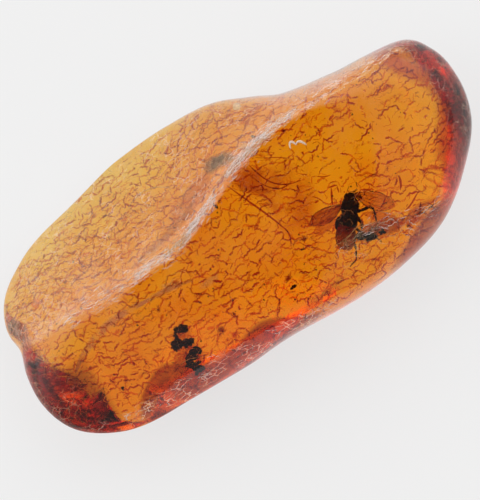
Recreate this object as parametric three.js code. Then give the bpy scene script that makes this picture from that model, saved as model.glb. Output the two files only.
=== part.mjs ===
// A tumbled nugget of honey-coloured amber with a fly sealed in it.
// Millimetres, +Z up.  X runs along the nugget, Y across it; it lies on its worn flat underside at Z = 0.
// One naturally formed piece, so there is one solid.
//
// The skin is two sheets that meet in one rim:
//   the upper sheet is a set of worn facets (a broad face, a ridge with a rubbed edge, a falling back
//   face and two lower facets) rounded over towards the rim;
//   the lower sheet is a flat foot that bows up to the rim, with a straight chamfer under the front.

import * as THREE from "three";

// ---- driving dimensions ------------------------------------------------------------------------

const GRID = 48;               // quads along each side of a sheet
const WORN_SLOPE = 0.42;       // fall of the rubbed strip along the ridge, mm per mm
const LOWER_SLOPE = 0.85;      // fall of the lower facet, mm per mm
const FACET_ROUNDING = 0.3;    // width over which two facets blend, mm
const RIDGE_ROUNDING = 0.12;   // the same at the ridge's crisp edge, mm
const CHAMFER_SLOPE = 0.56;    // rise of the chamfer under the front edge, mm per mm
const RIPPLE = 0.08;           // height of the long soft undulation of the skin, mm

// Plan outline at the rim, anticlockwise from the right-hand end: [x, y].
const OUTLINE = [
  [17.6, 0.6], [17.2, 2.9], [15.85, 4.5], [13.1, 5.0], [11.3, 5.15], [10.0, 5.35], [7.6, 5.8],
  [5.45, 6.8], [3.2, 7.85], [-0.6, 8.35], [-4.6, 8.25], [-9.3, 7.3], [-13.6, 6.1], [-16.1, 4.3],
  [-16.95, 2.3], [-16.85, 1.0], [-17.35, -0.6], [-17.5, -2.9], [-16.6, -5.3], [-14.0, -7.2],
  [-9.15, -7.9], [-3.5, -8.1], [2.5, -8.3], [8.0, -8.05], [11.85, -6.95], [14.6, -4.95], [16.9, -2.3],
];

// Curves along X: [x, value].
const RIDGE_LINE = [
  [-18, 0.5], [-12, 0.45], [-7, 0.5], [-4, 0.75], [-1.5, 1.6], [1, 2.7], [4, 3.6], [8, 3.95],
  [12, 3.9], [15, 4.0], [18, 4.2],
];
const RIDGE_HEIGHT = [
  [-18, 7], [-12, 8.4], [-5, 9.4], [2, 10.2], [9, 10.3], [14, 9.5], [18, 8],
];
const WORN_WIDTH = [
  [-18, 0.3], [-8, 0.7], [0, 0.9], [5, 0.7], [9, 0.5], [18, 0.5],
];
const BACK_SLOPE = [
  [-18, 0.95], [-8, 1.0], [0, 1.1], [6, 1.4], [10, 2.2], [18, 2.6],
];
const FRONT_SLOPE = [
  [-18, 0.14], [-5, 0.16], [4, 0.14], [18, 0.10],
];
const LOWER_LINE = [
  [-18, -4.6], [-14, -6.0], [-8, -6.25], [-2, -6.55], [3, -7.4], [8, -8.2], [18, -9.0],
];
const SIDE_LINE = [
  [-18, -9.0], [-1, -8.2], [2, -6.4], [4.5, -5.1], [7.2, -4.8], [10, -5.7], [13, -6.0], [15, -5.5],
  [18, -4.0],
];
const SIDE_SLOPE = [
  [-18, 0], [0, 0.08], [4, 0.3], [8, 0.4], [14, 0.55], [18, 0.7],
];

// The straight chamfer worn under the front edge begins here: [x, y].
const CHAMFER_LINE = [
  [-18, -7.0], [-13, -6.3], [-11.6, -5.4], [-9.6, -3.9], [-4, -3.4], [-0.5, -3.5], [2, -5.0],
  [4, -6.8], [8, -7.9], [18, -8.0],
];

// Curves round the rim: [angle in degrees from +X, value].
const RIM_HEIGHT = [
  [0, 4.6], [40, 4.2], [70, 3.6], [90, 2.9], [110, 2.1], [135, 1.8], [152, 2.0], [165, 2.9],
  [178, 4.0], [200, 5.0], [222, 4.9], [245, 4.7], [270, 4.6], [320, 4.8],
];
const TOP_ROUND = [
  [0, 6], [20, 8], [40, 16], [90, 16], [150, 12], [178, 8], [200, 5], [225, 8], [245, 20],
  [270, 26], [300, 22], [322, 9], [342, 7],
];
const FOOT_EDGE = [
  [0, 0.70], [20, 0.76], [50, 0.86], [90, 0.90], [110, 0.95], [140, 0.97], [158, 0.95],
  [172, 0.89], [182, 0.80], [194, 0.72], [201, 0.82], [208, 0.84], [216, 0.78], [230, 0.75],
  [260, 0.74], [272, 0.74], [283, 0.79], [295, 0.84], [308, 0.84], [325, 0.76], [340, 0.69],
];
const UNDER_BOW = [
  [0, 1.5], [50, 1.8], [90, 1.8], [140, 1.8], [180, 1.4], [200, 1.1], [215, 1.2], [235, 1.2],
  [260, 1.2], [280, 1.2], [300, 1.3], [320, 1.5],
];
const UNDER_RIM = [
  [0, 1.6], [50, 2], [140, 2], [180, 1.6], [200, 1.5], [213, 1.6], [235, 1.6], [275, 1.6],
  [300, 1.7], [320, 1.7],
];

// ---- curves ------------------------------------------------------------------------------------

// Smooth curve through [x, value] points: a cubic Hermite between neighbours, held level beyond the ends.
function slopesOf(pts) {
  const n = pts.length;
  return pts.map((p, i) => {
    if (i === 0) return (pts[1][1] - p[1]) / (pts[1][0] - p[0]);
    if (i === n - 1) return (p[1] - pts[n - 2][1]) / (p[0] - pts[n - 2][0]);
    const a = p[0] - pts[i - 1][0];
    const b = pts[i + 1][0] - p[0];
    const before = (p[1] - pts[i - 1][1]) / a;
    const after = (pts[i + 1][1] - p[1]) / b;
    return (before * b + after * a) / (a + b);
  });
}

function curveThrough(pts) {
  const slopes = slopesOf(pts);
  return (x) => {
    const clamped = Math.min(Math.max(x, pts[0][0]), pts[pts.length - 1][0]);
    let i = 0;
    while (i < pts.length - 2 && clamped >= pts[i + 1][0]) i += 1;
    const h = pts[i + 1][0] - pts[i][0];
    const t = (clamped - pts[i][0]) / h;
    const t2 = t * t;
    const t3 = t2 * t;
    return (2 * t3 - 3 * t2 + 1) * pts[i][1] + (t3 - 2 * t2 + t) * h * slopes[i]
      + (-2 * t3 + 3 * t2) * pts[i + 1][1] + (t3 - t2) * h * slopes[i + 1];
  };
}

// The same, closed round a full turn of the rim.
function ringThrough(pts) {
  const sorted = [...pts].sort((a, b) => a[0] - b[0]);
  const head = sorted.slice(-3).map(([a, v]) => [a - 360, v]);
  const tail = sorted.slice(0, 3).map(([a, v]) => [a + 360, v]);
  const curve = curveThrough([...head, ...sorted, ...tail]);
  return (angle) => curve(((THREE.MathUtils.radToDeg(angle) % 360) + 360) % 360);
}

const ridgeLine = curveThrough(RIDGE_LINE);
const ridgeHeight = curveThrough(RIDGE_HEIGHT);
const wornWidth = curveThrough(WORN_WIDTH);
const backSlope = curveThrough(BACK_SLOPE);
const frontSlope = curveThrough(FRONT_SLOPE);
const lowerLine = curveThrough(LOWER_LINE);
const sideLine = curveThrough(SIDE_LINE);
const sideSlope = curveThrough(SIDE_SLOPE);
const chamferLine = curveThrough(CHAMFER_LINE);
const rimHeight = ringThrough(RIM_HEIGHT);
const topRound = ringThrough(TOP_ROUND);
const footEdge = ringThrough(FOOT_EDGE);
const underBow = ringThrough(UNDER_BOW);
const underRim = ringThrough(UNDER_RIM);
const reach = ringThrough(OUTLINE.map(([x, y]) => [
  ((THREE.MathUtils.radToDeg(Math.atan2(y, x)) % 360) + 360) % 360,
  Math.hypot(x, y),
]));

// ---- skin --------------------------------------------------------------------------------------

// Zero below t = 0 and t above it, with the corner rounded over a width r.
function softRamp(t, r) {
  return 0.5 * (t + Math.sqrt(t * t + r * r));
}

// Height of the facets before they round over to the rim.
function facetHeight(x, y) {
  const d = y - ridgeLine(x);
  let z = ridgeHeight(x);
  z -= frontSlope(x) * softRamp(-d, FACET_ROUNDING);
  z -= WORN_SLOPE * softRamp(d, RIDGE_ROUNDING);
  z -= (backSlope(x) - WORN_SLOPE) * softRamp(d - wornWidth(x), FACET_ROUNDING);
  z -= LOWER_SLOPE * softRamp(lowerLine(x) - y, FACET_ROUNDING);
  z -= sideSlope(x) * softRamp(sideLine(x) - y, FACET_ROUNDING);
  z += RIPPLE * Math.sin(0.55 * x + 0.4 * y + 1.0) * Math.cos(0.5 * y - 0.2 * x);
  z += 0.5 * RIPPLE * Math.sin(1.3 * x - 0.9 * y);
  return z;
}

// Height of the upper sheet at share q of the way out to the rim.
function upperHeight(x, y, q, angle) {
  const rim = rimHeight(angle);
  const round = Math.sqrt(Math.max(0, 1 - q ** topRound(angle)));
  return rim + (facetHeight(x, y) - rim) * round;
}

// Height of the lower sheet: flat out to the foot's edge, then bowed up to the rim, or on the straight
// front chamfer where that is higher.
function lowerHeight(x, y, q, angle) {
  const edge = footEdge(angle);
  const t = Math.min(1, Math.max(0, (q - edge) / (1 - edge)));
  const bow = t === 0 ? 0 : t ** underBow(angle);
  const bowl = rimHeight(angle) * (1 - Math.max(0, 1 - bow) ** (1 / underRim(angle)));
  return Math.max(bowl, CHAMFER_SLOPE * Math.max(0, chamferLine(x) - y));
}

// Square grid laid on a disc without a pole: share of the way out, and angle.
function squareToDisc(u, v) {
  if (u === 0 && v === 0) return [0, 0];
  if (Math.abs(u) > Math.abs(v)) {
    const a = (Math.PI / 4) * (v / u);
    return u > 0 ? [u, a] : [-u, a + Math.PI];
  }
  const a = Math.PI / 2 - (Math.PI / 4) * (u / v);
  return v > 0 ? [v, a] : [-v, a + Math.PI];
}

function sheetPoint(u, v, upper) {
  const [s, angle] = squareToDisc(u, v);
  const q = upper ? Math.sin(0.5 * Math.PI * s) : s;
  const r = q * reach(angle);
  const x = r * Math.cos(angle);
  const y = r * Math.sin(angle);
  const z = upper ? upperHeight(x, y, q, angle) : lowerHeight(x, y, q, angle);
  return [x, y, z];
}

function nuggetGeometry(n) {
  const side = n + 1;
  const points = [];
  const rows = [new Int32Array(side * side), new Int32Array(side * side)];
  for (let i = 0; i < side; i += 1) {
    for (let j = 0; j < side; j += 1) {
      const u = (2 * i) / n - 1;
      const v = (2 * j) / n - 1;
      const k = i * side + j;
      rows[0][k] = points.length;
      points.push(sheetPoint(u, v, true));
      if (i === 0 || j === 0 || i === n || j === n) {
        rows[1][k] = rows[0][k];
      } else {
        rows[1][k] = points.length;
        points.push(sheetPoint(u, v, false));
      }
    }
  }
  const index = [];
  for (let i = 0; i < n; i += 1) {
    for (let j = 0; j < n; j += 1) {
      for (let sheet = 0; sheet < 2; sheet += 1) {
        const a = rows[sheet][i * side + j];
        const b = rows[sheet][(i + 1) * side + j];
        const c = rows[sheet][(i + 1) * side + j + 1];
        const d = rows[sheet][i * side + j + 1];
        const turned = (2 * i < n) === (2 * j < n);
        const tris = turned ? [[a, b, c], [a, c, d]] : [[a, b, d], [b, c, d]];
        for (const t of tris) index.push(...(sheet === 0 ? t : [t[0], t[2], t[1]]));
      }
    }
  }
  const geometry = new THREE.BufferGeometry();
  geometry.setAttribute("position", new THREE.Float32BufferAttribute(points.flat(), 3));
  geometry.setIndex(index);
  return geometry;
}

// Centre the plan on the origin; the foot already lies at Z = 0.
function centred(geometry) {
  geometry.computeBoundingBox();
  const box = geometry.boundingBox;
  geometry.translate(-(box.min.x + box.max.x) / 2, -(box.min.y + box.max.y) / 2, 0);
  geometry.computeVertexNormals();
  return geometry;
}

// ---- part --------------------------------------------------------------------------------------

const amber = new THREE.Mesh(
  centred(nuggetGeometry(GRID)),
  new THREE.MeshStandardMaterial({ name: "honey amber", color: 0xc8740f, roughness: 0.15, metalness: 0 }),
);
amber.name = "amber";

const part = new THREE.Group();
part.name = "insect_in_amber";
part.add(amber);

export default part;
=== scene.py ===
"""A tumbled nugget of honey-coloured amber with a fly sealed in it.

Lengths are millimetres in the shape functions and metres in the meshes.  X runs along the nugget, Y
across it and Z up; the nugget lies on its worn flat underside at Z = 0.

The skin is two sheets that meet in one rim.  Everything sealed in the nugget is placed by its plan
position and its depth under the skin, so it stays inside when the skin changes.
"""

import math

import bpy
import numpy as np
from mathutils import Matrix, Vector


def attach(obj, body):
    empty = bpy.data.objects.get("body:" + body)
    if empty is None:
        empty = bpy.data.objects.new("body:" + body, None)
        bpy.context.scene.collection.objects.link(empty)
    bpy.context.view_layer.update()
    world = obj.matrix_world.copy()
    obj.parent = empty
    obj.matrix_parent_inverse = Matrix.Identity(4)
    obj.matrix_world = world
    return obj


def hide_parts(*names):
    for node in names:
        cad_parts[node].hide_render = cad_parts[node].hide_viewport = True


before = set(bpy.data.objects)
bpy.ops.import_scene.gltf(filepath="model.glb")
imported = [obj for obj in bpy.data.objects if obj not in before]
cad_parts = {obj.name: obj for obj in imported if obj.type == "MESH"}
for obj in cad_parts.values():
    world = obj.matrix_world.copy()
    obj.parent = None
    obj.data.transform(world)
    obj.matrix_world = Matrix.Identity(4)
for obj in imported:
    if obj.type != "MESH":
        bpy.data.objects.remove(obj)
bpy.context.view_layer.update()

MM = 0.001
BODY = "root"
SEED = 40

# ---- the nugget's shape, as in the CAD part ------------------------------------------------------

SKIN_GRID = 200          # quads along each side of a sheet
WORN_SLOPE = 0.42        # fall of the rubbed strip along the ridge
LOWER_SLOPE = 0.85       # fall of the lower facet
FACET_ROUNDING = 0.3     # width over which two facets blend
RIDGE_ROUNDING = 0.12    # the same at the ridge's crisp edge
RIPPLE = 0.08            # height of the long soft undulation of the skin

# Plan outline at the rim, anticlockwise from the right-hand end: (x, y).
OUTLINE = (
    (17.6, 0.6), (17.2, 2.9), (15.85, 4.5), (13.1, 5.0), (11.3, 5.15), (10.0, 5.35), (7.6, 5.8),
    (5.45, 6.8), (3.2, 7.85), (-0.6, 8.35), (-4.6, 8.25), (-9.3, 7.3), (-13.6, 6.1), (-16.1, 4.3),
    (-16.95, 2.3), (-16.85, 1.0), (-17.35, -0.6), (-17.5, -2.9), (-16.6, -5.3), (-14.0, -7.2),
    (-9.15, -7.9), (-3.5, -8.1), (2.5, -8.3), (8.0, -8.05), (11.85, -6.95), (14.6, -4.95),
    (16.9, -2.3),
)

# Curves along X: (x, value).
RIDGE_LINE = (
    (-18, 0.5), (-12, 0.45), (-7, 0.5), (-4, 0.75), (-1.5, 1.6), (1, 2.7), (4, 3.6), (8, 3.95),
    (12, 3.9), (15, 4.0), (18, 4.2),
)
RIDGE_HEIGHT = ((-18, 7.0), (-12, 8.4), (-5, 9.4), (2, 10.2), (9, 10.3), (14, 9.5), (18, 8.0))
WORN_WIDTH = ((-18, 0.3), (-8, 0.7), (0, 0.9), (5, 0.7), (9, 0.5), (18, 0.5))
BACK_SLOPE = ((-18, 0.95), (-8, 1.0), (0, 1.1), (6, 1.4), (10, 2.2), (18, 2.6))
FRONT_SLOPE = ((-18, 0.14), (-5, 0.16), (4, 0.14), (18, 0.10))
LOWER_LINE = ((-18, -4.6), (-14, -6.0), (-8, -6.25), (-2, -6.55), (3, -7.4), (8, -8.2), (18, -9.0))
SIDE_LINE = (
    (-18, -9.0), (-1, -8.2), (2, -6.4), (4.5, -5.1), (7.2, -4.8), (10, -5.7), (13, -6.0),
    (15, -5.5), (18, -4.0),
)
SIDE_SLOPE = ((-18, 0), (0, 0.08), (4, 0.3), (8, 0.4), (14, 0.55), (18, 0.7))

# The straight chamfer worn under the front edge begins here: (x, y).
CHAMFER_LINE = (
    (-18, -7.0), (-13, -6.3), (-11.6, -5.4), (-9.6, -3.9), (-4, -3.4), (-0.5, -3.5), (2, -5.0),
    (4, -6.8), (8, -7.9), (18, -8.0),
)
CHAMFER_SLOPE = 0.56

# Curves round the rim: (angle in degrees from +X, value).
RIM_HEIGHT = (
    (0, 4.6), (40, 4.2), (70, 3.6), (90, 2.9), (110, 2.1), (135, 1.8), (152, 2.0), (165, 2.9),
    (178, 4.0), (200, 5.0), (222, 4.9), (245, 4.7), (270, 4.6), (320, 4.8),
)
TOP_ROUND = (
    (0, 6), (20, 8), (40, 16), (90, 16), (150, 12), (178, 8), (200, 5), (225, 8), (245, 20),
    (270, 26), (300, 22), (322, 9), (342, 7),
)
FOOT_EDGE = (
    (0, 0.70), (20, 0.76), (50, 0.86), (90, 0.90), (110, 0.95), (140, 0.97), (158, 0.95),
    (172, 0.89), (182, 0.80), (194, 0.72), (201, 0.82), (208, 0.84), (216, 0.78), (230, 0.75),
    (260, 0.74), (272, 0.74), (283, 0.79), (295, 0.84), (308, 0.84), (325, 0.76), (340, 0.69),
)
UNDER_BOW = (
    (0, 1.5), (50, 1.8), (90, 1.8), (140, 1.8), (180, 1.4), (200, 1.1), (215, 1.2), (235, 1.2),
    (260, 1.2), (280, 1.2), (300, 1.3), (320, 1.5),
)
UNDER_RIM = (
    (0, 1.6), (50, 2), (140, 2), (180, 1.6), (200, 1.5), (213, 1.6), (235, 1.6), (275, 1.6),
    (300, 1.7), (320, 1.7),
)


# ---- curves --------------------------------------------------------------------------------------


def curve_through(x, points):
    """Smooth curve through (x, value) points: a cubic Hermite between neighbours whose slope at each
    point is the spacing-weighted mean of the slopes on its two sides, held level beyond the ends."""
    table = np.asarray(points, float)
    px = table[:, 0]
    py = table[:, 1]
    slope = np.gradient(py, px)
    x = np.clip(x, px[0], px[-1])
    i = np.clip(np.searchsorted(px, x, side="right") - 1, 0, len(px) - 2)
    h = px[i + 1] - px[i]
    t = (x - px[i]) / h
    t2 = t * t
    t3 = t2 * t
    start = (2 * t3 - 3 * t2 + 1) * py[i] + (t3 - 2 * t2 + t) * h * slope[i]
    end = (-2 * t3 + 3 * t2) * py[i + 1] + (t3 - t2) * h * slope[i + 1]
    return start + end


def ring_through(angle, points):
    """The same curve closed round the rim: three points from each end are repeated a full turn away."""
    table = np.asarray(sorted(points), float)
    before = table[-3:] - (360, 0)
    after = table[:3] + (360, 0)
    return curve_through(np.degrees(angle) % 360, np.concatenate([before, table, after]))


def soft_ramp(t, r):
    """Zero below t = 0 and t above it, its corner rounded over a width r: half of t plus the root of
    t squared plus r squared."""
    return 0.5 * (t + np.sqrt(t * t + r * r))


def smooth_step(t):
    """0 below t = 0, 1 above t = 1, and three t squared less two t cubed between."""
    t = np.clip(t, 0, 1)
    return t * t * (3 - 2 * t)


# ---- the skin as a function of the plan ----------------------------------------------------------

REACH = tuple((math.degrees(math.atan2(y, x)) % 360, math.hypot(x, y)) for x, y in OUTLINE)


def facet_height(x, y):
    """Height of the worn facets before they round over to the rim: the ridge's height, less a gentle
    fall in front of it, a rubbed strip and a steep back behind it, and two facets low in front, plus
    a long ripple made of two crossed sines."""
    behind = y - curve_through(x, RIDGE_LINE)
    strip = behind - curve_through(x, WORN_WIDTH)
    z = curve_through(x, RIDGE_HEIGHT)
    z = z - curve_through(x, FRONT_SLOPE) * soft_ramp(-behind, FACET_ROUNDING)
    z = z - WORN_SLOPE * soft_ramp(behind, RIDGE_ROUNDING)
    z = z - (curve_through(x, BACK_SLOPE) - WORN_SLOPE) * soft_ramp(strip, FACET_ROUNDING)
    z = z - LOWER_SLOPE * soft_ramp(curve_through(x, LOWER_LINE) - y, FACET_ROUNDING)
    z = z - curve_through(x, SIDE_SLOPE) * soft_ramp(curve_through(x, SIDE_LINE) - y, FACET_ROUNDING)
    z = z + RIPPLE * np.sin(0.55 * x + 0.4 * y + 1.0) * np.cos(0.5 * y - 0.2 * x)
    return z + 0.5 * RIPPLE * np.sin(1.3 * x - 0.9 * y)


def share_out(x, y):
    """Share of the way from the middle of the plan to the rim, and the angle, for plan points."""
    angle = np.arctan2(y, x)
    return np.clip(np.hypot(x, y) / ring_through(angle, REACH), 0, 1), angle


def skin_height(x, y, upper):
    """Height of the skin over a plan point.  The upper sheet falls from the facets to the rim as the
    root of one less the share out raised to a power; the lower sheet is flat to the foot's edge and
    then bows up to the rim as a super-ellipse, or follows the straight front chamfer where that is
    higher."""
    share, angle = share_out(x, y)
    rim = ring_through(angle, RIM_HEIGHT)
    if upper:
        keep = np.sqrt(np.clip(1 - share ** ring_through(angle, TOP_ROUND), 0, 1))
        return rim + (facet_height(x, y) - rim) * keep
    edge = ring_through(angle, FOOT_EDGE)
    t = np.clip((share - edge) / (1 - edge), 0, 1)
    arch = np.clip(1 - t ** ring_through(angle, UNDER_BOW), 0, 1)
    bowl = rim * (1 - arch ** (1 / ring_through(angle, UNDER_RIM)))
    chamfer = CHAMFER_SLOPE * np.maximum(curve_through(x, CHAMFER_LINE) - y, 0)
    return np.maximum(bowl, chamfer)


def skin_normal(x, y, upper):
    """Outward normal of the skin over plan points, from differences of its height over a short step."""
    step = 0.02
    dx = (skin_height(x + step, y, upper) - skin_height(x - step, y, upper)) / (2 * step)
    dy = (skin_height(x, y + step, upper) - skin_height(x, y - step, upper)) / (2 * step)
    normal = np.stack([-dx, -dy, np.ones_like(dx)], -1)
    if not upper:
        normal = -normal
    return normal / np.linalg.norm(normal, axis=-1, keepdims=True)


def under_skin(x, y, depth):
    """Points a given depth straight below the upper skin."""
    x = np.asarray(x, float)
    y = np.asarray(y, float)
    return np.stack([x, y, skin_height(x, y, True) - depth], -1)


def square_to_disc(u, v):
    """A square grid laid on a disc without a pole: each square ring becomes a circle.  Returns the
    share of the way out and the angle."""
    wide = np.abs(u) > np.abs(v)
    long_side = np.where(wide, u, v)
    short_side = np.where(wide, v, u)
    ratio = short_side / np.where(long_side == 0, 1, long_side)
    angle = np.where(wide, math.pi / 4 * ratio, math.pi / 2 - math.pi / 4 * ratio)
    angle = np.where(long_side < 0, angle + math.pi, angle)
    return np.abs(long_side), angle


# ---- meshes --------------------------------------------------------------------------------------


def grid_quads(index):
    """Quads between neighbouring entries of a two-dimensional array of vertex numbers."""
    corners = [index[:-1, :-1], index[1:, :-1], index[1:, 1:], index[:-1, 1:]]
    return np.stack(corners, -1).reshape(-1, 4)


def skin_surface(n):
    """Both sheets on one square grid laid on the plan; the outermost ring of vertices is shared."""
    t = np.linspace(-1, 1, n + 1)
    u, v = np.meshgrid(t, t, indexing="ij")
    share, angle = square_to_disc(u, v)
    reach = ring_through(angle, REACH)
    sheets = []
    for upper in (True, False):
        out = np.sin(0.5 * math.pi * share) if upper else share
        x = out * reach * np.cos(angle)
        y = out * reach * np.sin(angle)
        sheets.append(np.stack([x, y, skin_height(x, y, upper)], -1).reshape(-1, 3))
    top = np.arange((n + 1) ** 2).reshape(n + 1, n + 1)
    under = top + top.size
    inner = np.zeros_like(top, bool)
    inner[1:-1, 1:-1] = True
    under = np.where(inner, under, top)
    quads = np.concatenate([grid_quads(top), grid_quads(under)[:, ::-1]])
    used, packed = np.unique(quads, return_inverse=True)
    return np.concatenate(sheets)[used], packed.reshape(-1, 4)


SKIN_POINTS, SKIN_QUADS = skin_surface(SKIN_GRID)
PLAN_CENTRE = 0.5 * (SKIN_POINTS.min(0) + SKIN_POINTS.max(0)) * (1, 1, 0)


def joined(shapes):
    """Several (points, face arrays) shapes as one, the faces renumbered past the points before them."""
    points = []
    faces = []
    start = 0
    for shape_points, shape_faces in shapes:
        points.append(shape_points)
        faces.extend(group + start for group in shape_faces)
        start += len(shape_points)
    return np.concatenate(points), faces


def add_piece(name, shape, material, slot, **values):
    """A mesh piece from a shape in millimetres, riding on the nugget, with a float attribute for each
    named array of values."""
    points, faces = shape
    mesh = bpy.data.meshes.new(name)
    listed = [face for group in faces for face in group.tolist()]
    mesh.from_pydata(((points - PLAN_CENTRE) * MM).tolist(), [], listed)
    for key, value in values.items():
        attribute = mesh.attributes.new(key, "FLOAT", "POINT")
        attribute.data.foreach_set("value", np.asarray(value, np.float32))
    mesh.polygons.foreach_set("use_smooth", np.ones(len(mesh.polygons), bool))
    mesh.materials.append(material)
    mesh.update()
    piece = bpy.data.objects.new(name, mesh)
    bpy.context.scene.collection.objects.link(piece)
    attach(piece, BODY)
    return piece


def unit(vectors):
    """Each vector divided by its length."""
    length = np.linalg.norm(vectors, axis=-1, keepdims=True)
    return vectors / np.maximum(length, 1e-9)


def swept(path, radius, sides, flatten=1.0):
    """A round section carried along a path: at each station a ring of the given radius lies square to
    the path, flattened in its upright direction, and each end closes on a point."""
    path = np.asarray(path, float)
    radius = np.asarray(radius, float)
    along = unit(np.gradient(path, axis=0))
    side = unit(np.cross(along, (0.0, 0.0, 1.0)))
    lift = np.cross(side, along)
    turn = np.arange(sides) * 2 * math.pi / sides
    ring = np.cos(turn)[None, :, None] * side[:, None]
    ring = ring + flatten * np.sin(turn)[None, :, None] * lift[:, None]
    rings = path[:, None] + radius[:, None, None] * ring
    index = np.arange(len(path) * sides).reshape(len(path), sides)
    index = np.concatenate([index, index[:, :1]], 1)
    first = len(path) * sides
    start = np.stack([np.full(sides, first), index[0, :-1], index[0, 1:]], -1)
    end = np.stack([np.full(sides, first + 1), index[-1, 1:], index[-1, :-1]], -1)
    points = np.concatenate([rings.reshape(-1, 3), path[:1], path[-1:]])
    return points, [grid_quads(index), np.concatenate([start, end])]


def bezier(points, stations):
    """A smooth path from the first control point to the last, drawn towards those between: the sum of
    the points, each times Bernstein's weight for its number."""
    control = np.asarray(points, float)
    t = np.linspace(0, 1, stations)[:, None]
    degree = len(control) - 1
    path = np.zeros((stations, 3))
    for k, point in enumerate(control):
        path = path + math.comb(degree, k) * t**k * (1 - t) ** (degree - k) * point
    return path


def body_segment(start, end, width, flatten=1.0, blunt=0.5, rings=0.0, stations=26, sides=20):
    """A closed body segment: the radius along it is half the width times a power of one less t squared,
    t running from -1 to 1, with fine ring grooves made by a cosine."""
    t = np.sin(0.5 * math.pi * np.linspace(-0.995, 0.995, stations))
    radius = 0.5 * width * (1 - t * t) ** blunt * (1 - rings * np.cos(9.0 * t) ** 8)
    s = (0.5 * (t + 1))[:, None]
    path = (1 - s) * np.asarray(start, float) + s * np.asarray(end, float)
    return swept(path, radius, sides, flatten)


def lumps(centres, radii, rng, rings, sides, roughness=0.25):
    """Many small rough lumps at once: a ball's rings and sides, pushed in and out along each direction
    by the sum of three sines whose directions are random for each lump, then scaled along X, Y and Z."""
    centres = np.asarray(centres, float).reshape(-1, 3)
    radii = np.asarray(radii, float).reshape(-1, 3)
    count = len(centres)
    polar = np.linspace(0, math.pi, rings + 2)[1:-1]
    turn = np.arange(sides) * 2 * math.pi / sides
    ball = np.stack([
        np.sin(polar)[:, None] * np.cos(turn)[None],
        np.sin(polar)[:, None] * np.sin(turn)[None],
        np.repeat(np.cos(polar)[:, None], sides, 1),
    ], -1).reshape(-1, 3)
    ball = np.concatenate([ball, [(0, 0, 1), (0, 0, -1)]])
    push = np.ones((count, len(ball)))
    for pitch in (2.0, 4.0, 7.0):
        heading = unit(rng.normal(size=(count, 3)))
        phase = rng.uniform(0, 2 * math.pi, (count, 1))
        push = push + roughness / pitch**0.5 * np.sin(pitch * heading @ ball.T + phase)
    points = centres[:, None] + radii[:, None] * ball[None] * push[..., None]
    index = np.arange(rings * sides).reshape(rings, sides)
    index = np.concatenate([index, index[:, :1]], 1)
    top = np.full(sides, rings * sides)
    quads = grid_quads(index)
    fans = np.concatenate([
        np.stack([top, index[0, :-1], index[0, 1:]], -1),
        np.stack([top + 1, index[-1, 1:], index[-1, :-1]], -1),
    ])
    offset = (np.arange(count) * len(ball))[:, None, None]
    return points.reshape(-1, 3), [(quads + offset).reshape(-1, 4), (fans + offset).reshape(-1, 3)]


def lens(outline, height, thickness, n=28):
    """A thin closed lens over a plan outline: both faces follow `height`, a function of the plan, and
    part by the thickness times one less the share out squared.  Also returns that share out."""
    outline = np.asarray(outline, float)
    centre = outline.mean(0)
    spread = outline - centre
    reach = tuple(zip(np.degrees(np.arctan2(spread[:, 1], spread[:, 0])) % 360, np.hypot(*spread.T)))
    t = np.linspace(-1, 1, n + 1)
    u, v = np.meshgrid(t, t, indexing="ij")
    share, angle = square_to_disc(u, v)
    out = share * ring_through(angle, reach)
    x = centre[0] + out * np.cos(angle)
    y = centre[1] + out * np.sin(angle)
    middle = height(x, y)
    part = 0.5 * thickness * (1 - share**2)
    top = np.arange((n + 1) ** 2).reshape(n + 1, n + 1)
    inner = np.zeros_like(top, bool)
    inner[1:-1, 1:-1] = True
    under = np.where(inner, top + top.size, top)
    quads = np.concatenate([grid_quads(top), grid_quads(under)[:, ::-1]])
    points = np.concatenate([
        np.stack([x, y, middle + part], -1).reshape(-1, 3),
        np.stack([x, y, middle - part], -1).reshape(-1, 3),
    ])
    used, packed = np.unique(quads, return_inverse=True)
    shares = np.concatenate([share.ravel(), share.ravel()])[used]
    return (points[used], [packed.reshape(-1, 4)]), shares


# ---- cracks --------------------------------------------------------------------------------------


WEDGE_STATIONS = 7


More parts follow.
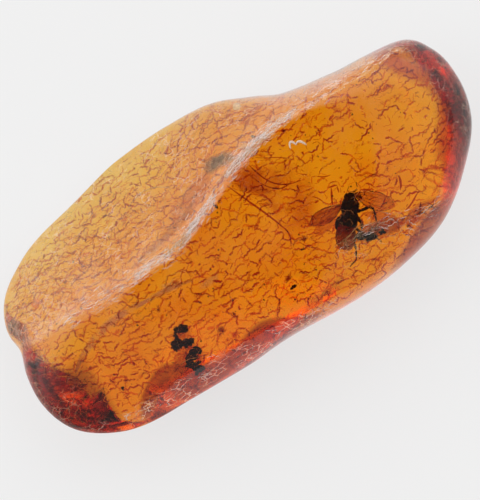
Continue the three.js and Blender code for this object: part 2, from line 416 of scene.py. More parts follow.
def crack_wedges(plan, heading, length, bend, depth, gape, lean, sink, upper):
    """Many thin closed wedges that hang into the amber from its skin.

    Along each wedge s runs from -1 to 1.  Its line is straight in the plan along the heading, bowed
    sideways by the bend times one less s squared, with a small sine wave on it.  Three rails follow
    the line: two make a mouth `gape` wide that lies `sink` under the skin, and one makes the inner
    edge, `depth` further in and leaning to one side.  All three close up towards the ends as the
    root of one less s squared, and meet in a point at each end.
    """
    s = np.linspace(-1, 1, WEDGE_STATIONS + 2)
    keep = np.sqrt(1 - s * s)
    wave = np.sin(3 * math.pi * s + 9 * heading[:, None])
    bowed = bend[:, None] * (1 - s * s) + 0.05 * length[:, None] * wave
    along = 0.5 * length[:, None] * s
    cosine = np.cos(heading)[:, None]
    sine = np.sin(heading)[:, None]
    x = plan[:, :1] + along * cosine - bowed * sine
    y = plan[:, 1:] + along * sine + bowed * cosine
    line = np.stack([x, y, skin_height(x, y, upper)], -1)
    normal = skin_normal(x, y, upper)
    tangent = unit(np.gradient(line, axis=1))
    across = np.cross(normal, tangent)
    mouth = line - sink * normal
    half = (0.5 * gape[:, None] * keep)[..., None] * across
    inward = np.sin(lean)[:, None, None] * across - np.cos(lean)[:, None, None] * normal
    foot = mouth + (depth[:, None] * keep)[..., None] * inward
    rails = np.stack([mouth + half, mouth - half, foot], 2)[:, 1:-1]
    count = len(plan)
    body = rails.reshape(count, -1, 3)
    points = np.concatenate([body, mouth[:, :1], mouth[:, -1:]], 1)
    index = np.arange(3 * WEDGE_STATIONS).reshape(WEDGE_STATIONS, 3)
    index = np.concatenate([index, index[:, :1]], 1)
    quads = grid_quads(index)[:, ::-1]
    tip = np.full(3, 3 * WEDGE_STATIONS)
    tips = np.concatenate([
        np.stack([tip, index[0, 1:], index[0, :-1]], -1),
        np.stack([tip + 1, index[-1, :-1], index[-1, 1:]], -1),
    ])
    offset = (np.arange(count) * points.shape[1])[:, None, None]
    return points.reshape(-1, 3), [(quads + offset).reshape(-1, 4), (tips + offset).reshape(-1, 3)]


def honeycomb(reach_x, reach_y, cell_x, cell_y, stray, rng):
    """Edges of a honeycomb over the plan.  Each cell has one corner two thirds of a cell above its place
    and one a third above and half a cell aside, and every other row is shifted by half a cell.  The
    corners stray at random by a share of the cell, and the rows wander with two long sines of X.
    Returns the two ends of each edge and which edges run across the nugget."""
    columns = int(2 * reach_x / cell_x) + 2
    rows = int(2 * reach_y / cell_y) + 2
    i, j = np.meshgrid(np.arange(columns), np.arange(rows), indexing="ij")
    x = (i + 0.5 * (j % 2)) * cell_x - reach_x
    y = j * cell_y - reach_y
    corner = np.stack([
        np.stack([x, y + cell_y * 2 / 3], -1),
        np.stack([x + 0.5 * cell_x, y + cell_y / 3], -1),
    ])
    corner = corner + rng.normal(size=corner.shape) * (stray * cell_x, stray * cell_y)
    wander = 0.35 * cell_y * np.sin(0.9 * corner[..., 0]) + 0.2 * np.sin(0.37 * corner[..., 0] + 1.3)
    corner[..., 1] += wander
    peak, flank = corner
    lower = np.where(j % 2 == 1, np.minimum(i + 1, columns - 1), i)
    starts = [peak, peak[1:], flank[:, 1:]]
    ends = [flank, flank[:-1], peak[lower[:, 1:], j[:, 1:] - 1]]
    across = [np.zeros(a.shape[:2], bool) for a in starts]
    across[2][:] = True
    flat = [np.concatenate([a.reshape(-1, a.shape[-1]) for a in group]) for group in (starts, ends)]
    return flat[0], flat[1], np.concatenate([a.ravel() for a in across])


# ---- finishes ------------------------------------------------------------------------------------


def new_material(name, base, roughness, **sockets):
    """A principled surface; returns the material and its shader."""
    material = bpy.data.materials.new(name)
    material.use_nodes = True
    shader = material.node_tree.nodes["Principled BSDF"]
    shader.inputs["Base Color"].default_value = (*base, 1)
    shader.inputs["Roughness"].default_value = roughness
    for key, value in sockets.items():
        shader.inputs[key.replace("_", " ")].default_value = value
    return material, shader


NOISE_ROUGHNESS = 0.55


class Nodes:
    """Short ways to add and join the nodes of one material."""

    def __init__(self, material):
        self.tree = material.node_tree
        self.place = self.add("ShaderNodeTexCoord").outputs["Object"]

    def add(self, kind, **settings):
        """A new node with its settings."""
        node = self.tree.nodes.new(kind)
        for key, value in settings.items():
            setattr(node, key, value)
        return node

    def join(self, source, socket):
        """Links a socket, or sets a plain number or colour."""
        if isinstance(source, bpy.types.NodeSocket):
            self.tree.links.new(source, socket)
        else:
            socket.default_value = source

    def value(self, name):
        """A named value carried by the piece's vertices."""
        return self.add("ShaderNodeAttribute", attribute_name=name).outputs["Fac"]

    def stretched(self, scale, turn=(0, 0, 0)):
        """The piece's own coordinates, scaled and turned."""
        node = self.add("ShaderNodeMapping")
        self.join(self.place, node.inputs["Vector"])
        node.inputs["Scale"].default_value = scale
        node.inputs["Rotation"].default_value = turn
        return node.outputs["Vector"]

    def noise(self, scale, detail=3.0, vector=None, output="Fac"):
        """Cloudy noise, so many cells to one unit of its coordinates."""
        node = self.add("ShaderNodeTexNoise")
        self.join(vector or self.place, node.inputs["Vector"])
        node.inputs["Scale"].default_value = scale
        node.inputs["Detail"].default_value = detail
        node.inputs["Roughness"].default_value = NOISE_ROUGHNESS
        return node.outputs[output]

    def math(self, operation, a, b=0.0, clamp=False):
        """The sum, product or greater of two values, clamped to 0 and 1 if asked."""
        node = self.add("ShaderNodeMath", operation=operation, use_clamp=clamp)
        self.join(a, node.inputs[0])
        self.join(b, node.inputs[1])
        return node.outputs[0]

    def ramp(self, value, low, high, to_low=0.0, to_high=1.0):
        """A smooth step from to_low at low to to_high at high."""
        node = self.add("ShaderNodeMapRange", interpolation_type="SMOOTHSTEP")
        self.join(value, node.inputs["Value"])
        numbers = {"From Min": low, "From Max": high, "To Min": to_low, "To Max": to_high}
        for key, number in numbers.items():
            node.inputs[key].default_value = number
        return node.outputs["Result"]

    def mix(self, share, a, b):
        """A colour between a and b; each is a colour of three numbers or a socket."""
        node = self.add("ShaderNodeMix", data_type="RGBA")
        self.join(share, node.inputs["Factor"])
        for source, name in ((a, "A_Color"), (b, "B_Color")):
            socket = next(item for item in node.inputs if item.identifier == name)
            self.join((*source, 1) if isinstance(source, tuple) else source, socket)
        return next(item for item in node.outputs if item.identifier == "Result_Color")

    def bump(self, height, distance, strength, shader):
        """Relief on the shader's normal: a height of 1 stands a distance in metres above 0."""
        node = self.add("ShaderNodeBump")
        self.join(height, node.inputs["Height"])
        node.inputs["Distance"].default_value = distance
        node.inputs["Strength"].default_value = strength
        self.join(node.outputs["Normal"], shader.inputs["Normal"])

    def crazed(self, cell, stretch, width, stray):
        """Lines round cells whose places have strayed: 1 on a line and 0 between."""
        shifted = self.add("ShaderNodeVectorMath", operation="MULTIPLY_ADD")
        self.join(self.noise(1.8 / cell, 2.0, output="Color"), shifted.inputs[0])
        shifted.inputs[1].default_value = (stray, stray, stray)
        self.join(self.stretched(stretch), shifted.inputs[2])
        cells = self.add("ShaderNodeTexVoronoi", feature="DISTANCE_TO_EDGE")
        self.join(shifted.outputs[0], cells.inputs["Vector"])
        cells.inputs["Scale"].default_value = 1 / cell
        return self.ramp(cells.outputs["Distance"], 0.0, width, 1.0, 0.0)


AMBER_INDEX = 1.54
AMBER_TAKES = (5.0, 85.0, 480.0)   # red, green and blue light taken up, per metre
CRUST = (1.00, 0.78, 0.36)         # tint of the thin oxidised skin where it is palest
CRUST_DEEP = (0.93, 0.45, 0.14)    # and where it is deepest
WORN_TINT = (1.0, 0.77, 0.67)      # the pale dust of rubbed skin
FRONT_SHADE = (0.22, 0.035, 0.03)         # painted shade: the skin's tint darkened along the front edge
END_SHADE = (0.46, 0.08, 0.01)      # and round the right-hand end


def amber_finish():
    """Clear honey amber, coloured by depth under a thin oxidised skin whose tint is darkened into painted
    shade along the front and round the right-hand end.
    It is rubbed dull along its ridges, hazy on its back, and has a fine pale network of crazing that
    shows where the amber behind it is dark.  How dull it is, is the greatest of the three, and that
    much of the light is scattered at the skin and not let through."""
    material, shader = new_material("honey_amber", CRUST, 0.04, IOR=AMBER_INDEX)
    nodes = Nodes(material)
    wear = nodes.value("wear")
    grain = nodes.noise(2600, 5.0)
    patches = nodes.noise(700, 2.0)
    clouds = nodes.noise(330, 3.0)
    scratches = nodes.noise(1.0, 4.0, nodes.stretched((350, 5200, 2500), (0, 0, 0.12)))
    line = nodes.crazed(0.0008, (1.0, 1.5, 1.5), 0.075, 0.0006)
    broken = nodes.math("MULTIPLY", line, nodes.ramp(patches, 0.40, 0.60))
    rubbed = nodes.ramp(nodes.math("ADD", grain, scratches), 0.85, 1.25)
    scuff = nodes.math("MULTIPLY", wear, rubbed)
    thread = nodes.math("MULTIPLY", broken, nodes.math("MULTIPLY", nodes.value("pale"), 0.70))
    haze = nodes.math("MULTIPLY", nodes.value("haze"), nodes.ramp(grain, 0.25, 0.75, 0.4, 1.6))
    dull = nodes.math("MAXIMUM", nodes.math("MULTIPLY", scuff, 0.50), thread)
    dull = nodes.math("MAXIMUM", dull, haze)
    nodes.join(nodes.math("SUBTRACT", 1.0, dull, True), shader.inputs["Transmission Weight"])
    crusted = nodes.math("ADD", nodes.value("crust"), nodes.ramp(clouds, 0.35, 0.70, -0.25, 0.25), True)
    crust = nodes.mix(crusted, CRUST, CRUST_DEEP)
    # Painted shade: the skin's tint darkened along the front and round the right-hand end.
    crust = nodes.mix(nodes.value("rind"), crust, FRONT_SHADE)
    crust = nodes.mix(nodes.value("end_rind"), crust, END_SHADE)
    nodes.join(nodes.mix(nodes.ramp(dull, 0.0, 0.5), crust, WORN_TINT), shader.inputs["Base Color"])
    rough = nodes.math("ADD", nodes.math("MULTIPLY", scuff, 0.25), nodes.math("MULTIPLY", grain, 0.06))
    nodes.join(rough, shader.inputs["Roughness"])
    relief = nodes.math("MULTIPLY", grain, 0.6)
    relief = nodes.math("SUBTRACT", relief, nodes.math("MULTIPLY", broken, 0.5))
    groove = nodes.math("MULTIPLY", scratches, nodes.math("MULTIPLY", wear, 1.4))
    nodes.bump(nodes.math("ADD", relief, groove), 0.00004, 0.35, shader)
    strongest = max(AMBER_TAKES)
    depth_tint = nodes.add("ShaderNodeVolumeAbsorption")
    depth_tint.inputs["Density"].default_value = strongest
    depth_tint.inputs["Color"].default_value = (*[1 - take / strongest for take in AMBER_TAKES], 1)
    output = nodes.tree.nodes["Material Output"]
    nodes.join(depth_tint.outputs["Volume"], output.inputs["Volume"])
    return material


GRAIN_HEIGHT = 0.00003


def mottled(name, dark, light, roughness, scale, bump=0.4, **sockets):
    """A solid finish that wanders between two colours, with a fine grain in its relief."""
    material, shader = new_material(name, dark, roughness, **sockets)
    nodes = Nodes(material)
    noise = nodes.noise(scale, 4.0)
    nodes.join(nodes.mix(nodes.ramp(noise, 0.3, 0.7), dark, light), shader.inputs["Base Color"])
    nodes.bump(noise, GRAIN_HEIGHT, bump, shader)
    return material


def sliver_finish(name, dark, light, cover):
    """A pale scratch: each has its own tone, and the stronger its tone the more it covers."""
    material, shader = new_material(name, dark, 0.5, Specular_IOR_Level=0.0)
    nodes = Nodes(material)
    nodes.join(nodes.mix(nodes.noise(5000, 2.0), dark, light), shader.inputs["Base Color"])
    nodes.join(nodes.ramp(nodes.value("tone"), 0.0, 1.0, *cover), shader.inputs["Alpha"])
    return material


CLEAR = (1.0, 1.0, 1.0)
FILM_INDEX = 1.0     # a film bends no light of its own; it only colours what passes


def film(name):
    """A thin stained film sealed in the amber, its colour still to be joined."""
    return new_material(name, CLEAR, 0.0, IOR=FILM_INDEX, Transmission_Weight=1.0, Specular_IOR_Level=0.0)


def crack_finish(name, faint, strong):
    """A crack darkens and reddens the light that crosses it, each crack by its own tone."""
    material, shader = film(name)
    nodes = Nodes(material)
    tone = nodes.math("ADD", nodes.value("tone"), nodes.ramp(nodes.noise(4000, 2.0), 0.3, 0.7, -0.2, 0.2))
    nodes.join(nodes.mix(nodes.ramp(tone, 0.0, 1.0), faint, strong), shader.inputs["Base Color"])
    return material


def stain_finish(name, tint, patch_scale, contrast, least, fade):
    """A stain colours the light that crosses it.  Its strength is a noise stretched from `least` to one
    over the `contrast`, times a share that drops to nothing over the `fade`, from its middle out."""
    material, shader = film(name)
    nodes = Nodes(material)
    faded = nodes.ramp(nodes.value("share"), *fade, 1.0, 0.0)
    patch = nodes.ramp(nodes.noise(patch_scale, 4.0), *contrast, least, 1.0)
    nodes.join(nodes.mix(nodes.math("MULTIPLY", faded, patch), CLEAR, tint), shader.inputs["Base Color"])
    return material


def veil_finish(name, colour, cover, patch_scale, contrast, least, fade=(0.25, 1.0)):
    """A hazy film in the amber that covers what lies under it: most in its middle, less towards its
    edge, and patchily, by the same product as a stain's."""
    material, shader = new_material(name, colour, 0.6, Specular_IOR_Level=0.0)
    nodes = Nodes(material)
    faded = nodes.ramp(nodes.value("share"), *fade, cover, 0.0)
    patch = nodes.ramp(nodes.noise(patch_scale, 4.0), *contrast, least, 1.0)
    nodes.join(nodes.math("MULTIPLY", faded, patch), shader.inputs["Alpha"])
    return material


def membrane_finish(name, thin, thick):
    """Wing membrane: it tints the light that crosses it, more between its fine corrugations."""
    material, shader = film(name)
    nodes = Nodes(material)
    folds = nodes.noise(1.0, 2.0, nodes.stretched((2500, 9000, 2500), (0, 0, -0.4)))
    nodes.join(nodes.mix(nodes.ramp(folds, 0.3, 0.7), thin, thick), shader.inputs["Base Color"])
    return material


# ---- the nugget ----------------------------------------------------------------------------------


def band(distance, low, high, edge):
    """1 where a distance lies between low and high, falling off smoothly over `edge` on both sides."""
    return smooth_step((distance - low) / edge + 1) * smooth_step((high - distance) / edge + 1)


def wear_of(points):
    """How rubbed the skin is: the worn strip along the ridge, most at its right-hand end and in its
    middle, the right-hand lower ridge, and part way along the rim."""
    x, y, z = points.T
    upper = z > skin_height(x, y, True) - 0.3
    behind = y - curve_through(x, RIDGE_LINE)
    strength = 0.15 + 0.6 * smooth_step((x - 1.0) / 5.0)
    ridge = band(behind, 0.0, 0.2 + curve_through(x, WORN_WIDTH), 0.25) * band(x, -13, 16.5, 3.0)
    beside = y - curve_through(x, SIDE_LINE)
    side = band(beside, -0.25, 0.1, 0.4) * band(x, 5.5, 14.5, 1.5)
    share, _ = share_out(x, y)
    rim = 0.25 * smooth_step((share - 0.97) / 0.03)
    return np.where(upper, np.maximum(np.maximum(strength * ridge, 0.2 * side), rim), 0.6 * rim)


def pale_of(points):
    """Where the crazing shows pale: the low front band, both ends, the back and the lower ridge."""
    x, y, _ = points.T
    front = smooth_step((curve_through(x, LOWER_LINE) + 0.3 - y) / 0.8) * band(x, -15, 2, 2.0)
    left = 0.35 * smooth_step((-14.0 - x) / 2.0) * smooth_step((1.0 - y) / 1.0)
    right = 0.5 * smooth_step((x - 14.6) / 1.5)
    back = 0.5 * smooth_step((y - curve_through(x, RIDGE_LINE)) / 0.6)
    lower_ridge = 0.4 * band(y - curve_through(x, SIDE_LINE), -1.2, 0.2, 0.5) * band(x, 5, 14, 2)
    return np.clip(np.maximum.reduce([front, left, right, back, lower_ridge]), 0, 1)


def crust_of(points):
    """How deep the oxidised skin's colour is: least on the right of the broad face and along the back
    edge, most on the left and low down in front.  A strip in front of the left half of the ridge is
    painted paler. This is painted light, where the rounded facet edge lets more light through."""
    x, y, _ = points.T
    ahead = curve_through(x, RIDGE_LINE) - y
    left = smooth_step((9.0 - x) / 20.0)
    low = 0.35 * smooth_step((ahead - 2.0) / 5.0)
    # painted light: the tint made paler in front of the left half of the ridge
    near_ridge = 0.45 * np.exp(-(((ahead - 0.7) / 1.0) ** 2)) * smooth_step((-1.0 - x) / 5.0)
    front = 0.10 + 0.70 * left + low - near_ridge
    back = 0.55 - 0.06 * np.clip(-ahead, 0, 9)
    return np.clip(np.where(ahead > 0, front, back), 0, 1)


# The inner edge of the painted shade along the rim: in front as (x, y) and round the right-hand end as (y,
# x).
FRONT_SHADE_LINE = (
    (-12.6, -7.1), (-11.7, -5.9), (-10.4, -5.0), (-9.2, -4.7), (-8.4, -5.1), (-7.4, -5.9), (-5.6, -6.45),
    (-4.2, -6.2), (-3.0, -5.85), (-2.2, -5.8), (-1.2, -6.2), (-0.2, -6.8), (1.2, -7.3), (6.0, -7.8),
    (8.0, -7.0), (10.0, -6.1), (11.5, -5.7), (13.0, -5.3), (15.0, -5.0),
)
END_LINE = (
    (-6.0, 12.3), (-4.0, 12.7), (-3.0, 12.9), (-2.0, 13.6), (-1.0, 14.3), (0.0, 14.8), (1.0, 14.6),
    (2.0, 14.0), (3.0, 13.3), (5.0, 12.6),
)


def rind_of(points):
    """How much painted shade darkens the skin's tint. It stands in for the dark band where light runs a
    long way inside. It covers all of the front but for a bare stretch right of the middle, and some of the
    skin where the left lobe begins."""
    x, y, z = points.T
    ragged = x + 0.7 * np.sin(1.3 * z + 0.5) + 0.35 * np.sin(2.9 * z)
    bare = 0.9 * band(ragged, 2.0, 6.4, 2.0)
    front = smooth_step((curve_through(x, FRONT_SHADE_LINE) - y) / 0.35) * smooth_step((x + 12.6) / 0.5)
    lobe = 0.6 * band(x, -14.7, -13.6, 0.6) * band(y, -6.0, -2.0, 0.8)
    return np.maximum(front * (1.0 - bare), lobe)


def end_rind_of(points):
    """Painted shade round the right-hand end: it deepens outwards and eases to half at the very rim."""
    x, y, _ = points.T
    outward = x - curve_through(y, END_LINE)
    return smooth_step(outward / 0.9) * (1.0 - 0.5 * smooth_step((outward - 1.6) / 0.8))


def haze_of(points):
    """How hazy the skin is: the whole back, more towards the left end and next to the ridge."""
    x, y, z = points.T
    upper = z > skin_height(x, y, True) - 0.3
    behind = y - curve_through(x, RIDGE_LINE)
    back = smooth_step(behind / 0.6)
    near_ridge = np.exp(-((behind / 1.6) ** 2))
    left = smooth_step((-7.0 - x) / 7.0)
    return np.where(upper, back * (0.07 + 0.08 * near_ridge + 0.08 * left), 0.0)


SKIN = add_piece(
    "amber_nugget",
    (SKIN_POINTS, [SKIN_QUADS]),
    amber_finish(),
    "amber",
    wear=wear_of(SKIN_POINTS),
    pale=pale_of(SKIN_POINTS),
    haze=haze_of(SKIN_POINTS),
    crust=crust_of(SKIN_POINTS),
    # The last two values are painted shade, along the front and round the right-hand end.
    rind=rind_of(SKIN_POINTS),
    end_rind=end_rind_of(SKIN_POINTS),
)
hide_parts("amber")

# ---- crazing -------------------------------------------------------------------------------------

FIELD_X = 17.6           # half length and half width of the honeycomb's field
FIELD_Y = 8.5
CORNER_STRAY = 0.22      # how far the honeycomb's corners stray, as a share of a cell
CRACKED_SHARE = 0.972    # no crack begins further out than this share of the way to the rim
SCUFFED_SHARE = 0.94     # and no scratch further out than this
CRACK_SINK = 0.03        # the cracks' mouths under the skin
CROSSWISE_CHANCE = 0.42  # chance of a crack across the nugget over that of one along it
FACE_CELL = (0.84, 0.50)    # honeycomb cell, along X and Y, of the main cracks and their lips
BACK_CELL = (0.52, 0.32)    # and of the fine ones on the hazy back

def crack_chance(x, y, crosswise):
    """Chance that an edge of the honeycomb has opened into a crack: least in the clear right-hand
    part of the broad face, most low down on the front facets and on the back, and far less for cracks
    that run across."""
    clear = np.exp(-(((x - 10.0) / 5.0) ** 2) - ((y - 0.2) / 3.2) ** 2)
    low = smooth_step((curve_through(x, SIDE_LINE) + 1.2 - y) / 1.6) * band(x, 0, 14, 2.0)
    behind = y - curve_through(x, RIDGE_LINE)
    back = smooth_step((behind - 0.6) / 0.5) - 1.2 * smooth_step((behind - 4.3) / 1.6)
    chance = 0.76 - 0.28 * clear + 0.25 * low + 0.25 * back
    return chance * np.where(crosswise, CROSSWISE_CHANCE, 1.0)


def everywhere(x, y):
    """All of the cracks are kept."""
    return np.ones_like(x)


def on_the_hazy_back(x, y):
    """Behind the ridge, mostly towards the left end."""
    behind = y - curve_through(x, RIDGE_LINE)
    back = smooth_step((behind - 0.3) / 0.5) * (1.0 - 0.7 * smooth_step((behind - 4.0) / 1.5))
    return back * (0.25 + 0.75 * smooth_step((-2.0 - x) / 8.0))


def crazing(
    name, upper, cell, thinning, deep, wide, finish, seed, aside=0.0, darkest=1.0, where=everywhere
):
    """A field of cracks on one sheet of the skin, one on each chosen edge of a honeycomb of `cell`.
    `thinning` and `where`, a share over the plan, multiply the chance of each.  `deep` and `wide` give
    their least and greatest depth and gape, `aside` moves them all off the edges, and `darkest` is the
    strongest tone."""
    rng = np.random.default_rng(SEED + seed)
    start, end, crosswise = honeycomb(FIELD_X, FIELD_Y, *cell, CORNER_STRAY, rng)
    share = np.maximum(share_out(*start.T)[0], share_out(*end.T)[0])
    middle = 0.5 * (start + end)
    step = end - start
    chance = thinning * crack_chance(*middle.T, crosswise) * where(*middle.T)
    chosen = (share < CRACKED_SHARE) & (rng.random(len(middle)) < chance)
    middle = middle[chosen]
    step = step[chosen]
    count = len(middle)
    length = np.hypot(*step.T) * rng.uniform(0.85, 1.4, count)
    heading = np.arctan2(step[:, 1], step[:, 0]) + rng.normal(0, 0.12, count)
    middle = middle + aside * np.stack([np.sin(heading), -np.cos(heading)], -1)
    wedges = crack_wedges(
        middle,
        heading,
        length,
        bend=length * rng.normal(0, 0.10, count),
        depth=rng.uniform(*deep, count),
        gape=rng.uniform(*wide, count),
        lean=np.clip(rng.normal(0, 0.35, count), -0.9, 0.9),
        sink=CRACK_SINK,
        upper=upper,
    )
    tone = np.repeat(darkest * rng.random(count), len(wedges[0]) // count)
    return add_piece(name, wedges, finish, "crazing", tone=tone)


CRACK_WALLS = crack_finish("crack_walls", (0.84, 0.46, 0.28), (0.43, 0.032, 0.012))
CRACK_LIPS = sliver_finish("crack_lips", (0.84, 0.46, 0.26), (0.95, 0.68, 0.48), (0.0, 0.36))

# The main cracks' lips share their cell and seed, so each lies beside its crack.
crazing("crazing_upper", True, FACE_CELL, 1.0, (0.04, 0.19), (0.035, 0.11), CRACK_WALLS, 1)
crazing("crazing_under", False, (1.05, 0.66), 0.5, (0.08, 0.30), (0.04, 0.09), CRACK_WALLS, 2, 0.0, 0.6)
crazing("crazing_lips", True, FACE_CELL, 1.0, (0.02, 0.04), (0.03, 0.05), CRACK_LIPS, 1, 0.07)
crazing("crazing_fine", True, (0.50, 0.34), 0.36, (0.03, 0.08), (0.022, 0.05), CRACK_WALLS, 5, 0.0, 0.8)
crazing(
    "crazing_back", True, BACK_CELL, 0.8, (0.03, 0.08), (0.03, 0.05), CRACK_WALLS, 3, 0.0, 0.6,
    on_the_hazy_back,
)
crazing(
    "crazing_back_lips", True, BACK_CELL, 0.6, (0.02, 0.04), (0.025, 0.04), CRACK_LIPS, 3, 0.05, 1.0,
    on_the_hazy_back,
)


def scratches(name, plan, heading, length, finish, seed):
    """Fine pale scratches, their mouths on the skin."""
    rng = np.random.default_rng(SEED + seed)
    count = len(plan)
    wedges = crack_wedges(
        plan,
        heading,
        length,
        bend=length * rng.normal(0, 0.10, count),
        depth=rng.uniform(0.014, 0.04, count),
        gape=rng.uniform(0.02, 0.045, count),
        lean=rng.normal(0, 0.3, count),
        sink=0.0,
        upper=True,
    )
    tone = np.repeat(rng.random(count), len(wedges[0]) // count)
    return add_piece(name, wedges, finish, "crazing", tone=tone)


def along_line(line, low, high, count, spread, rng, offset=0.0):
    """Random plan places beside a curve along X, and the curve's own heading at each."""
    x = rng.uniform(low, high, count)
    y = curve_through(x, line) + offset + rng.normal(0, spread, count)
    slope = (curve_through(x + 0.1, line) - curve_through(x - 0.1, line)) / 0.2
    return np.stack([x, y], -1), np.arctan(slope)


def ridge_scuffs():
    """Scratches crowded along the ridge, the lower right-hand ridge and the low front edge."""
    rng = np.random.default_rng(SEED + 20)
    # The line they follow, from X, to X, how many, spread, distance from the line, turn, lengths.
    fields = (
        (RIDGE_LINE, -13.5, 16.0, 560, 0.32, 0.45, 0.20, (0.2, 0.9)),
        (RIDGE_LINE, -7.5, -0.5, 280, 0.17, 0.42, 0.16, (0.3, 1.0)),
        (RIDGE_LINE, 1.0, 7.0, 240, 0.17, 0.42, 0.16, (0.3, 1.0)),
        (SIDE_LINE, 4.6, 14.5, 90, 0.32, 0.0, 0.35, (0.3, 1.2)),
        (LOWER_LINE, -11.0, 1.5, 60, 0.45, -0.7, 0.7, (0.25, 0.8)),
    )
    plans = []
    headings = []
    lengths = []
    for line, low, high, count, spread, offset, turn, size in fields:
        plan, heading = along_line(line, low, high, count, spread, rng, offset)
        plans.append(plan)
        headings.append(heading + rng.normal(0, turn, count))
        lengths.append(rng.uniform(*size, count))
    plan = np.concatenate(plans)
    keep = share_out(*plan.T)[0] < SCUFFED_SHARE
    finish = sliver_finish("scuffed_amber", (0.95, 0.72, 0.64), (1.0, 0.94, 0.91), (0.08, 0.85))
    lengths = np.concatenate(lengths)[keep]
    return scratches("ridge_scuffs", plan[keep], np.concatenate(headings)[keep], lengths, finish, 21)


ridge_scuffs()

# ---- veils, stains and fissures ------------------------------------------------------------------


def at_depth(depth):
    """A sheet that follows the upper skin at a depth."""
    return lambda x, y: skin_height(x, y, True) - depth


def veil(name, outline, height, thickness, finish, slot="crazing"):
    """One thin film."""
    shape, share = lens(outline, height, thickness)
    return add_piece(name, shape, finish, slot, share=share)


def blob(centre, reach_x, reach_y, turn=0.0, seed=0, wobble=0.18, count=14):
    """An irregular closed outline round a centre: an ellipse whose radius wanders at random."""
    rng = np.random.default_rng(SEED + 300 + seed)
    angle = np.arange(count) * 2 * math.pi / count
    push = 1 + wobble * rng.uniform(-1, 1, count)
    x = reach_x * push * np.cos(angle)
    y = reach_y * push * np.sin(angle)
    return np.stack([
        centre[0] + x * math.cos(turn) - y * math.sin(turn),
        centre[1] + x * math.sin(turn) + y * math.cos(turn),
    ], -1)


def ribbon(points, width, depth, stations=30, sides=6, flatten=2.5):
    """A narrow closed strip at a depth under the skin along a plan curve, its width fading to both ends
    as the root of a sine.  `flatten` is its height over its width: above one for the upright sheet of a
    fissure, well under one for a scratch and almost nothing for a streak of haze."""
    path = bezier([(x, y, 0.0) for x, y in points], stations)
    path[:, 2] = skin_height(path[:, 0], path[:, 1], True) - depth
    fade = np.sin(math.pi * np.linspace(0.02, 0.98, stations)) ** 0.5
    return swept(path, 0.5 * width * fade, sides, flatten)


STREAK_STATIONS = 48
STREAK_SIDES = 12
STREAK_FLATNESS = 0.03   # height of a streak over its width
SCRATCH_FLATNESS = 0.4   # and of a long pale scratch


def streak(name, points, width, depth, finish):
    """A flat film along a plan curve, whose share out is the cosine round its section and 1 at its
    two end points."""
    turn = np.arange(STREAK_SIDES) * 2 * math.pi / STREAK_SIDES
    share = np.append(np.tile(np.abs(np.cos(turn)), STREAK_STATIONS), (1.0, 1.0))
    shape = ribbon(points, width, depth, STREAK_STATIONS, STREAK_SIDES, STREAK_FLATNESS)
    return add_piece(name, shape, finish, "crazing", share=share)


BROWN_STAIN = stain_finish("brown_stain", (0.76, 0.54, 0.45), 520, (0.32, 0.60), 0.15, (0.60, 1.0))
FISSURE_SHEET = (
    (0.8, 2.6), (1.3, 1.6), (1.9, -0.2), (2.7, -3.0), (3.6, -3.1), (4.7, -2.3), (5.9, -0.7), (6.3, 0.9),
    (5.2, 2.3), (3.4, 3.1),
)
FISSURE_CURTAIN = (
    (1.0, 2.6), (1.5, 1.5), (2.1, 0.8), (3.2, 0.5), (4.3, 0.9), (4.1, 1.9), (3.0, 2.8), (2.0, 3.1),
)
veil("fissure_stain", FISSURE_SHEET, at_depth(1.3), 0.05, BROWN_STAIN)
veil("fissure_curtain", FISSURE_CURTAIN, at_depth(0.7), 0.05, BROWN_STAIN)
veil("ridge_stain", blob((-1.6, 3.15), 2.7, 0.85, 0.42, 2, 0.15), at_depth(0.5), 0.04, BROWN_STAIN)

# Painted sheen: pale lilac films and mauve streaks along the soft facet edge in front of the left half of
# the ridge stand in for light reflected there.
SHEEN = veil_finish("pale_sheen", (1.0, 0.80, 0.90), 0.36, 900, (0.36, 0.60), 0.15)
MAUVE_SHEEN = veil_finish("mauve_sheen", (1.0, 0.56, 0.62), 0.42, 1500, (0.36, 0.60), 0.25)
streak("soft_edge_sheen_left", ((-14.3, -2.2), (-12.2, -0.6), (-9.5, -0.4), (-7.2, -0.95)), 0.75, 0.12, MAUVE_SHEEN)
streak("soft_edge_sheen_right", ((-8.4, -0.8), (-7.0, -0.75), (-5.8, -1.0), (-4.4, -1.3)), 0.50, 0.13, MAUVE_SHEEN)
veil("sheen_middle", blob((-5.9, -0.80), 1.0, 0.36, 0.0, 5), at_depth(0.12), 0.02, SHEEN)
veil("sheen_right", blob((-3.55, -1.95), 1.0, 0.38, 0.12, 6), at_depth(0.12), 0.02, SHEEN)

SMUDGE = veil_finish("grey_smudge", (0.24, 0.15, 0.19), 0.88, 1800, (0.34, 0.58), 0.50)
veil("ridge_smudge", blob((1.05, 4.25), 1.45, 0.58, -0.15, 7), at_depth(0.10), 0.02, SMUDGE)

ORANGE_SPOT = stain_finish("orange_spot", (0.90, 0.45, 0.10), 900, (0.2, 0.5), 0.6, (0.5, 1.0))
veil("orange_spot", blob((-14.1, 3.0), 0.45, 0.40, 0.0, 8), at_depth(0.30), 0.04, ORANGE_SPOT)

